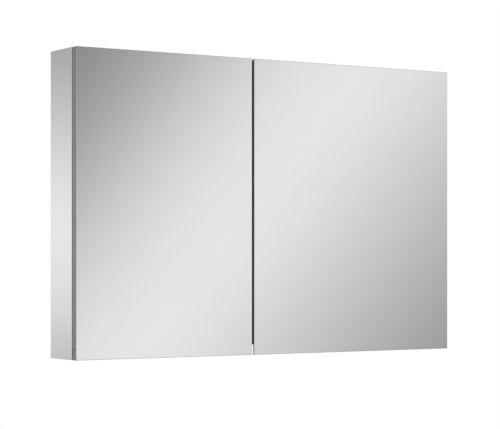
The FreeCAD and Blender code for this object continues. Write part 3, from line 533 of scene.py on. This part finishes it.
# Hanging rails: veneer on the faces, and on the edges two woods by turns with glue between them
VENEER = {"Pale": (0.74, 0.60, 0.43, 1.0), "Dark": (0.56, 0.40, 0.25, 1.0)}
PLIES = 7
PLY_WOODS = ((0.66, 0.50, 0.33, 1.0), (0.47, 0.32, 0.19, 1.0))
PLY_SPECK = (0.36, 0.24, 0.14, 1.0)
PLY_SPECK_SHARE = 0.5
PLY_SPECK_SQUEEZE = (900.0, 4000.0, 900.0)
PLY_GLUE = (0.22, 0.13, 0.08, 1.0)
PLY_GLUE_SHARE = 0.7
PLY_GLUE_FADE = (0.40, 0.48)            # from the middle of a ply, as a share of its thickness
PLY_ROUGH = (0.52, 0.72)
PLY_RELIEF = 0.08 * MM


def plywood_finish(node):
    """birch plywood: grain along the rail on its faces, layers on its edges"""
    low, high = corners(node)
    material, tree, shader, point, facing = finish_of(f"plywood_{node}", **{"Specular IOR Level": 0.35})
    face = faces(tree, facing, FRONT, both_ways=True)
    veneer = place(tree, GRAIN, {"Point": point, **VENEER})
    depth = calc(tree, "SUBTRACT", parts_of(tree, point)["Y"], low[1])
    layer = calc(tree, "MULTIPLY", depth, PLIES / (high[1] - low[1]))
    odd = calc(tree, "GREATER_THAN", calc(tree, "WRAP", layer, 2.0, 0.0), 1.0)
    from_middle = calc(tree, "ABSOLUTE", calc(tree, "SUBTRACT", calc(tree, "WRAP", layer, 1.0, 0.0), 0.5))
    glue = smooth(tree, from_middle, *PLY_GLUE_FADE)
    speck = noise(tree, vector_calc(tree, "MULTIPLY", point, PLY_SPECK_SQUEEZE), 1.0)
    edge = blend(tree, odd, *PLY_WOODS)
    edge = laid_over(tree, speck, PLY_SPECK_SHARE, edge, PLY_SPECK)
    edge = laid_over(tree, glue, PLY_GLUE_SHARE, edge, PLY_GLUE)
    feed(tree, shader,
         Base_Color=blend(tree, face, edge, veneer["Colour"]),
         Roughness=smooth(tree, speck, *WIDE, *PLY_ROUGH))
    raised(tree, shader, calc(tree, "ADD", veneer["Height"], speck), PLY_RELIEF)
    return material


# Core boards of the doors
FIBREBOARD = ((0.44, 0.32, 0.20, 1.0), (0.62, 0.49, 0.34, 1.0))
FIBREBOARD_FIBRE = 9 * MM
FIBREBOARD_ROUGH = (0.78, 0.92)
FIBREBOARD_RELIEF = 0.1 * MM


def fibreboard_finish():
    """raw fibreboard: fine pressed fibre"""
    material, tree, shader, point, _ = finish_of("core_fibreboard", **{"Specular IOR Level": 0.25})
    fibre = place(tree, MOTTLE, {"Point": point, "Size": FIBREBOARD_FIBRE})
    feed(tree, shader,
         Base_Color=blend(tree, fibre["Grain"], *FIBREBOARD),
         Roughness=smooth(tree, fibre["Tone"], *WIDE, *FIBREBOARD_ROUGH))
    raised(tree, shader, fibre["Grain"], FIBREBOARD_RELIEF, strength=0.6)
    return material


# Dowels
BEECH = {"Pale": (0.76, 0.56, 0.38, 1.0), "Dark": (0.58, 0.38, 0.23, 1.0)}
BEECH_FLECK = 3 * MM
BEECH_ROUGH = (0.55, 0.75)
BEECH_RELIEF = 0.05 * MM


def beech_finish():
    """turned beech dowel: grain along Z"""
    material, tree, shader, point, _ = finish_of("dowel_beech", **{"Specular IOR Level": 0.3})
    lying = add(tree, "ShaderNodeMapping", {"Vector": point, "Rotation": (0.0, math.pi / 2, 0.0)}).outputs[0]
    wood = place(tree, GRAIN, {"Point": lying, **BEECH})
    fleck = place(tree, MOTTLE, {"Point": point, "Size": BEECH_FLECK})
    feed(tree, shader,
         Base_Color=wood["Colour"],
         Roughness=smooth(tree, fleck["Grain"], *WIDE, *BEECH_ROUGH))
    raised(tree, shader, wood["Height"], BEECH_RELIEF)
    return material


# Metals: two tones, roughness, how the noise is squeezed along X, Y and Z, depth of lines, share of patches
METALS = {
    "plate_steel": {
        "tones": ((0.62, 0.61, 0.59, 1.0), (0.80, 0.79, 0.77, 1.0)), "rough": (0.24, 0.34),
        "density": (5.0, 2400.0, 2400.0), "line_depth": 0.012 * MM, "patches": 0.12,
    },
    "pin_steel": {
        "tones": ((0.55, 0.55, 0.54, 1.0), (0.74, 0.74, 0.73, 1.0)), "rough": (0.14, 0.28),
        "density": (40.0, 40.0, 9000.0), "line_depth": 0.006 * MM, "patches": 0.2,
    },
    "pin_nickel": {
        "tones": ((0.62, 0.60, 0.57, 1.0), (0.76, 0.74, 0.71, 1.0)), "rough": (0.08, 0.18),
        "density": (3000.0, 200.0, 200.0), "line_depth": 0.004 * MM, "patches": 0.2,
    },
    "screw_zinc": {
        "tones": ((0.52, 0.54, 0.55, 1.0), (0.76, 0.76, 0.73, 1.0)), "rough": (0.20, 0.38),
        "density": (900.0, 900.0, 900.0), "line_depth": 0.0, "patches": 0.4,
    },
    "key_zinc": {
        "tones": ((0.36, 0.37, 0.38, 1.0), (0.52, 0.53, 0.54, 1.0)), "rough": (0.45, 0.62),
        "density": (1500.0, 1500.0, 1500.0), "line_depth": 0.03 * MM, "patches": 0.4,
    },
}
METAL_PATCH = 4 * MM
TONE_CHANGE = 0.1 * MM                  # to each side of where steel turns dark grey
DARK_GREY_ROUGHER = 0.12


def metal_finish(name, tones, rough, density, line_depth, patches):
    """bare or plated metal: drawn or turned lines, with small patches of a slightly different tone"""
    material, tree, shader, point, _ = finish_of(name, Metallic=1.0)
    lines = place(tree, STREAKS, {"Point": point, "Density": density})["Fine"]
    patch = place(tree, MOTTLE, {"Point": point, "Size": METAL_PATCH})["Tone"]
    tone = between(tree, patches, lines, patch)
    feed(tree, shader,
         Base_Color=blend(tree, smooth(tree, tone, *NARROW), *tones),
         Roughness=smooth(tree, tone, *MIDDLE, *rough))
    if line_depth:
        raised(tree, shader, lines, line_depth)
    return material


def two_tone_finish(name, steel, axis, edge):
    """drawn or turned steel, and below a place on one axis the dark grey of the door frames"""
    material, tree, shader, point, _ = finish_of(name, Metallic=1.0)
    lines = place(tree, STREAKS, {"Point": point, "Density": steel["density"]})["Fine"]
    tone = smooth(tree, lines, *NARROW)
    dark = smooth(tree, parts_of(tree, point)[axis], edge + TONE_CHANGE, edge - TONE_CHANGE)
    gloss = smooth(tree, lines, *MIDDLE, *steel["rough"])
    feed(tree, shader,
         Base_Color=blend(tree, dark, blend(tree, tone, *steel["tones"]), blend(tree, tone, *DARK_GREY)),
         Roughness=calc(tree, "MULTIPLY_ADD", dark, DARK_GREY_ROUGHER, gloss))
    raised(tree, shader, lines, steel["line_depth"])
    return material


# Plastics and other moulded pieces: two tones, roughness, size of the grain, and the shader's own sockets
MOULDED = {
    "bush_nylon": {
        "tones": ((0.74, 0.73, 0.68, 1.0), (0.83, 0.82, 0.78, 1.0)),
        "rough": (0.38, 0.50), "grain": 2 * MM,
    },
    "catch_plastic": {
        "tones": ((0.78, 0.78, 0.77, 1.0), (0.85, 0.85, 0.84, 1.0)),
        "rough": (0.40, 0.56), "grain": 5 * MM,
    },
    "magnet_ferrite": {
        "tones": ((0.045, 0.045, 0.05, 1.0), (0.11, 0.11, 0.115, 1.0)),
        "rough": (0.45, 0.65), "grain": 2 * MM,
    },
    "bumper_silicone": {
        "tones": ((0.86, 0.88, 0.88, 1.0), (0.93, 0.94, 0.94, 1.0)),
        "rough": (0.12, 0.24), "grain": 2 * MM,
        "IOR": 1.42, "Transmission Weight": 0.7, "Metallic": 0.0,
    },
}
MOULD_RELIEF = 0.04 * MM


def moulded_finish(name, tones, rough, grain, **sockets):
    """moulded plastic or rubber: an eroded mould's fine grain and a faint flow of tone"""
    material, tree, shader, point, _ = finish_of(name, **sockets)
    flow = place(tree, MOTTLE, {"Point": point, "Size": grain})
    feed(tree, shader,
         Base_Color=blend(tree, flow["Tone"], *tones),
         Roughness=smooth(tree, flow["Grain"], *MIDDLE, *rough))
    raised(tree, shader, flow["Grain"], MOULD_RELIEF, strength=0.6)
    return material


# Shelves: tints of the glass through its faces, near its rim and through its edges
GLASS_CLEAR = (0.965, 0.985, 0.978, 1.0)
GLASS_RIM = (0.80, 0.93, 0.89, 1.0)
GLASS_RIM_WIDTH = 3 * MM
GLASS_RIM_SHARE = 0.3
GLASS_EDGE = ((0.50, 0.78, 0.68, 1.0), (0.56, 0.80, 0.72, 1.0))
GLASS_WIPES = 0.12                      # size of the wiping marks
GLASS_ROUGH = 0.004
GLASS_WIPED_ROUGHER = 0.04


def glass_finish(node):
    """clear shelf: nearly colourless through its faces, green through its long edges, faint wiping marks"""
    low, high = corners(node)
    material, tree, shader, point, facing = finish_of(
        f"glass_{node}", **{"IOR": 1.52, "Transmission Weight": 1.0, "Metallic": 0.0})
    flat = faces(tree, facing, UP, both_ways=True)
    wiped = place(tree, SMUDGE, {"Point": point, "Size": GLASS_WIPES})["Mask"]
    border = place(tree, BORDER, {"Point": point, "Low": low - UP, "High": high + UP})["Distance"]
    rim = smooth(tree, border, GLASS_RIM_WIDTH, 0.0)
    clear = laid_over(tree, rim, GLASS_RIM_SHARE, GLASS_CLEAR, GLASS_RIM)
    feed(tree, shader,
         Base_Color=blend(tree, flat, blend(tree, wiped, *GLASS_EDGE), clear),
         Roughness=calc(tree, "MULTIPLY_ADD", wiped, GLASS_WIPED_ROUGHER, GLASS_ROUGH))
    return material


# Which finish each node takes

BAR_FINISHES = {(door, axis): aluminium_finish(door, axis) for door in DOORS for axis in "xz"}
# A hinge plate's nose stands out past the boards, and a lower pin's foot hangs below its plate
NOSED_PLATE = two_tone_finish("hinge_plate", METALS["plate_steel"], "Y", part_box("top_panel")[0].y)
FOOTED_PIN = two_tone_finish("pin_with_foot", METALS["pin_steel"], "Z",
                             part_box("left_lower_hinge_plate")[0].z)
SHARED_FINISHES = {
    **{name: metal_finish(name, **look) for name, look in METALS.items()},
    **{name: moulded_finish(name, **look) for name, look in MOULDED.items()},
    "back_hardboard": hardboard_finish(),
    "core_fibreboard": fibreboard_finish(),
    "dowel_beech": beech_finish(),
}


def finish_for(node, slot):
    """the material of one node, from its slot and its place"""
    if node == "lower_hinge_pins":
        return FOOTED_PIN
    if node.endswith("hinge_plate"):
        return NOSED_PLATE
    if slot == "mirror_silver":
        if "side" in node:
            return mirror_finish(node, LEFT if node.startswith("left") else -LEFT)
        return mirror_finish(node, FRONT if "front" in node else -FRONT)
    if slot == "frame_aluminium":
        door = "left_door" if node.startswith("left") else "right_door"
        return BAR_FINISHES[door, "z" if node.endswith("stile") else "x"]
    if slot == "white_board":
        return board_finish(node, "z" if node in ("top_panel", "bottom_panel") else "x")
    if slot == "rail_plywood":
        return plywood_finish(node)
    if slot == "shelf_glass":
        return glass_finish(node)
    return SHARED_FINISHES[slot]


def wear(piece, material):
    """put one material in every slot of a piece"""
    if not piece.material_slots:
        piece.data.materials.append(material)
    for slot in piece.material_slots:
        slot.material = material


for name, piece in NODES.items():
    if name not in BUMPERS:
        wear(piece, finish_for(name, SLOTS[name]))


# New pieces

DOME_ROWS = 10
DOME_COLUMNS = 32
DOME_TOP = 0.97                         # where the profile stops, at a small flat crown
DOME_FULLNESS = 0.6


def domed_bumpers(node):
    """clear stick-on bumpers: a dome turned about the middle of each CAD bumper

    Along the profile u runs from 0 at the glued rim towards 1 at the crown. The radius is R times the power
    DOME_FULLNESS of cos(u pi/2) and the height is T sin(u pi/2), so the rim is steep and the crown is nearly
    flat. Round the dome v runs once round its axis, in the direction that makes the faces look outwards."""
    low, high = corners(node)
    radius = (high[0] - low[0]) / 2
    thickness = high[1] - low[1]
    u = np.linspace(0.0, DOME_TOP, DOME_ROWS)[:, None]
    v = np.linspace(0.0, 2 * math.pi, DOME_COLUMNS, endpoint=False)
    reach = radius * np.cos(u * math.pi / 2) ** DOME_FULLNESS
    rise = np.broadcast_to(thickness * np.sin(u * math.pi / 2), (DOME_ROWS, DOME_COLUMNS))
    row, column = np.meshgrid(np.arange(DOME_ROWS - 1), np.arange(DOME_COLUMNS), indexing="ij")
    here = row * DOME_COLUMNS + column
    beside = row * DOME_COLUMNS + (column + 1) % DOME_COLUMNS
    sides = np.stack([here, beside, beside + DOME_COLUMNS, here + DOME_COLUMNS], axis=-1).reshape(-1, 4)
    rim = np.arange(DOME_COLUMNS)[::-1]
    crown = np.arange(DOME_COLUMNS) + (DOME_ROWS - 1) * DOME_COLUMNS
    points = []
    polygons = []
    for number, middle in enumerate((low[2] + radius, high[2] - radius)):
        across = low[0] + radius + reach * np.cos(v)
        upright = middle - reach * np.sin(v)
        points += np.stack([across, low[1] + rise, upright], axis=-1).reshape(-1, 3).tolist()
        first = number * DOME_ROWS * DOME_COLUMNS
        polygons += [(polygon + first).tolist() for polygon in (*sides, rim, crown)]
    mesh = bpy.data.meshes.new(f"{node}_domes")
    mesh.from_pydata(points, [], polygons)
    mesh.polygons.foreach_set("use_smooth", np.ones(len(mesh.polygons), bool))
    mesh.update()
    piece = bpy.data.objects.new(f"{node}_domes", mesh)
    bpy.context.scene.collection.objects.link(piece)
    return piece


for node in BUMPERS:
    bumpers = domed_bumpers(node)
    wear(bumpers, SHARED_FINISHES["bumper_silicone"])
    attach(bumpers, node.removesuffix("_bumpers"))
    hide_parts(node)


# Floor, surround, lamps and camera

def floor_paint():
    """pale, uneven paint, painted a little darker as painted shade where the mirrors see it, that ends
    towards the floor's rim

    Seen straight or through glass it turns as white there as the surround. In the mirrors it clears away
    there, so that they show the surround, and from below it is clear all over."""
    material = bpy.data.materials.new("floor_paint")
    tree = emptied(material)
    point = add(tree, "ShaderNodeTexCoord").outputs["Object"]
    ray = add(tree, "ShaderNodeLightPath").outputs
    uneven = place(tree, MOTTLE, {"Point": point, "Size": FLOOR_PATCH})["Tone"]
    pale = blend(tree, uneven, *map(grey, FLOOR_TONES))
    # painted shade: the mirrors see a darker copy of the floor's tones
    mirrored_painted_shade = blend(tree, uneven, *map(grey, FLOOR_TONES_PAINTED_SHADE))
    tone = blend(tree, ray["Is Glossy Ray"], pale, mirrored_painted_shade)
    paint = add(tree, "ShaderNodeBsdfDiffuse", {"Color": tone}).outputs[0]
    white = add(tree, "ShaderNodeEmission", {"Color": grey(1.0), "Strength": 1.0}).outputs[0]
    clear = add(tree, "ShaderNodeBsdfTransparent").outputs[0]
    out = vector_calc(tree, "LENGTH", vector_calc(tree, "MULTIPLY", point, (1.0, 1.0, 0.0)))
    fade = smooth(tree, out, *FLOOR_FADE)
    seen = calc(tree, "MAXIMUM", ray["Is Camera Ray"], ray["Is Transmission Ray"])
    bleached = calc(tree, "MULTIPLY", fade, seen)
    lit = add(tree, "ShaderNodeMixShader", {0: bleached, 1: paint, 2: white}).outputs[0]
    mirrored = calc(tree, "MULTIPLY", fade, ray["Is Glossy Ray"])
    under = add(tree, "ShaderNodeNewGeometry").outputs["Backfacing"]
    gone = calc(tree, "MAXIMUM", under, mirrored)
    shown = add(tree, "ShaderNodeMixShader", {0: gone, 1: lit, 2: clear}).outputs[0]
    add(tree, "ShaderNodeOutputMaterial", {"Surface": shown})
    return material


def pale_floor():
    """a round floor well below the cabinet"""
    turns = np.linspace(0.0, 2 * math.pi, FLOOR_CORNERS, endpoint=False)
    level = np.full_like(turns, FLOOR_LEVEL)
    rim = np.stack([FLOOR_RADIUS * np.cos(turns), FLOOR_RADIUS * np.sin(turns), level], axis=-1)
    mesh = bpy.data.meshes.new("floor")
    mesh.from_pydata(rim.tolist(), [], [list(range(FLOOR_CORNERS))])
    floor = bpy.data.objects.new("floor", mesh)
    bpy.context.scene.collection.objects.link(floor)
    wear(floor, floor_paint())


def studio_surround():
    """white to the camera, even light for the boards, and graded bands of surround light for what the
    mirrors show

    In front of the cabinet the light runs in a slanted band, and behind it in a level band. The slant is in
    the plane of the picture, as the doors show it."""
    across = np.array([math.cos(CAMERA_TURN), math.sin(CAMERA_TURN), 0.0])
    slant = math.cos(STUDIO_SLANT) * across - math.sin(STUDIO_SLANT) * UP
    world = bpy.data.worlds.new("studio")
    bpy.context.scene.world = world
    tree = emptied(world)
    direction = add(tree, "ShaderNodeTexCoord").outputs["Generated"]
    part = parts_of(tree, direction)
    along = vector_calc(tree, "DOT_PRODUCT", direction, slant)
    front_light = place(tree, BAND, {"Along": along, **FRONT_BAND})["Light"]
    back_light = place(tree, BAND, {"Along": part["Z"], **BACK_BAND})["Light"]
    graded = between(tree, smooth(tree, part["Y"], *BAND_CHANGE), front_light, back_light)
    graded = calc(tree, "MULTIPLY_ADD", graded, STUDIO_PALE - STUDIO_DARK, STUDIO_DARK)
    ray = add(tree, "ShaderNodeLightPath").outputs
    seen = calc(tree, "MAXIMUM", ray["Is Camera Ray"], ray["Is Transmission Ray"])
    level = between(tree, ray["Is Glossy Ray"], SURROUND_LIGHT, graded)
    level = between(tree, seen, level, 1.0)
    light = add(tree, "ShaderNodeBackground", {"Color": grey(1.0), "Strength": level}).outputs[0]
    add(tree, "ShaderNodeOutputWorld", {"Surface": light})


def softbox(name, place_at, aim, size, watts):
    """a square lamp that lights the boards and isn't seen in the mirrors"""
    lamp = bpy.data.lights.new(name, "AREA")
    lamp.size = size
    lamp.energy = watts
    holder = bpy.data.objects.new(name, lamp)
    holder.location = place_at
    line = np.array(aim) - np.array(place_at)
    level_length = math.hypot(line[0], line[1])
    tilt = math.atan2(level_length, -line[2])
    turn = math.atan2(line[1], line[0]) - math.pi / 2
    holder.rotation_euler = (tilt, 0.0, turn)
    holder.visible_camera = False
    holder.visible_glossy = False
    bpy.context.scene.collection.objects.link(holder)


def photo_camera():
    """a level camera to the left of the cabinet, with the picture's eye level set by its shift"""
    data = bpy.data.cameras.new("camera")
    data.sensor_width = SENSOR_WIDTH
    data.lens = SENSOR_WIDTH * FOCAL_PIXELS / PICTURE_WIDTH
    data.shift_y = (EYE_LEVEL_ROW - PICTURE_HEIGHT / 2) / PICTURE_WIDTH
    camera = bpy.data.objects.new("camera", data)
    camera.location = CAMERA_PLACE
    camera.rotation_euler = (math.pi / 2, 0.0, -CAMERA_TURN)
    bpy.context.scene.collection.objects.link(camera)
    bpy.context.scene.camera = camera


pale_floor()
studio_surround()
for name, lamp in LAMPS.items():
    softbox(name, *lamp)
photo_camera()
bpy.context.scene.view_settings.view_transform = "Standard"
# Light runs along inside a glass shelf from face to face, and with fewer reflections its edges look black
bpy.context.scene.cycles.glossy_bounces = GLOSSY_BOUNCES
